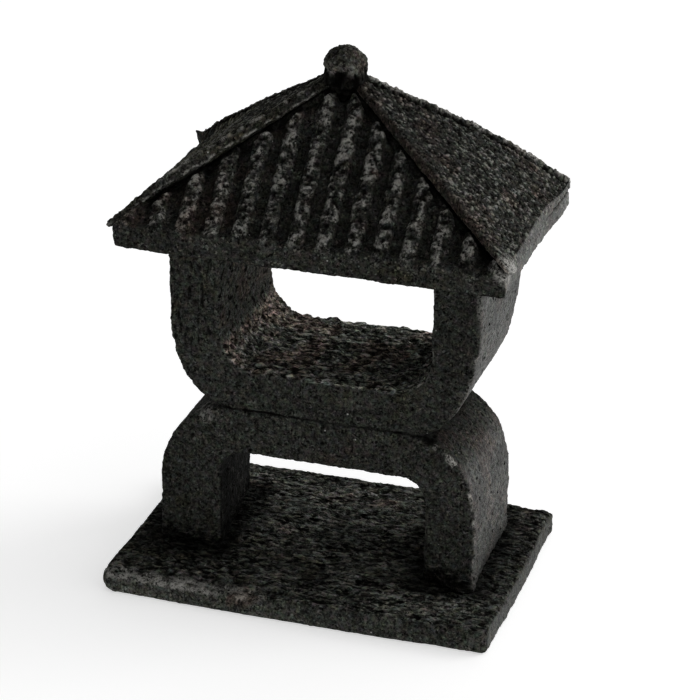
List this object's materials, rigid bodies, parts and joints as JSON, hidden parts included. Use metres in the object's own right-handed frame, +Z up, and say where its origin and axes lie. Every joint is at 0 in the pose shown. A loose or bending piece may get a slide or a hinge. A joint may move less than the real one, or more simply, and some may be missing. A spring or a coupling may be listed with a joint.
{
  "type": "stone pagoda ornament",
  "caption": "Small black lava-stone pagoda with an arched foot, a U-shaped chamber and a tiled hip roof, for fish or shrimp to swim through.",
  "frame": {"origin": "middle of the footprint's bounding box, on the ground plane under the base slab", "axes": "+Z up (the longest extent), +Y from the front to the back (the shortest extent), +X to the right seen from the front"},
  "size_m": [0.1516, 0.1016, 0.2113],
  "materials": {
    "lava_stone": "black porous lava stone, rough and matt",
    "lava_stone_tiles": "black porous lava stone, ribs worn lighter",
    "lava_stone_sawn": "dark grey lava stone, chiselled face",
    "lava_stone_finial": "dark grey-brown lava stone",
    "mortar": "dark, matt bonding mortar"
  },
  "bodies": {
    "root": {"base_slab": "lava_stone", "lower_arch": "lava_stone", "upper_cradle": "lava_stone", "roof_core": "lava_stone", "roof_front_panel": "lava_stone_tiles", "roof_back_panel": "lava_stone_tiles", "roof_left_slab": "lava_stone_sawn", "roof_right_slab": "lava_stone_sawn", "finial": "lava_stone_finial", "foot_bed_left": "mortar", "foot_bed_right": "mortar", "waist_bed": "mortar", "eave_bed_left": "mortar", "eave_bed_right": "mortar", "finial_bed": "mortar", "front_panel_bed": "mortar", "back_panel_bed": "mortar", "left_slab_bed": "mortar", "right_slab_bed": "mortar"}
  },
  "joints": []
}
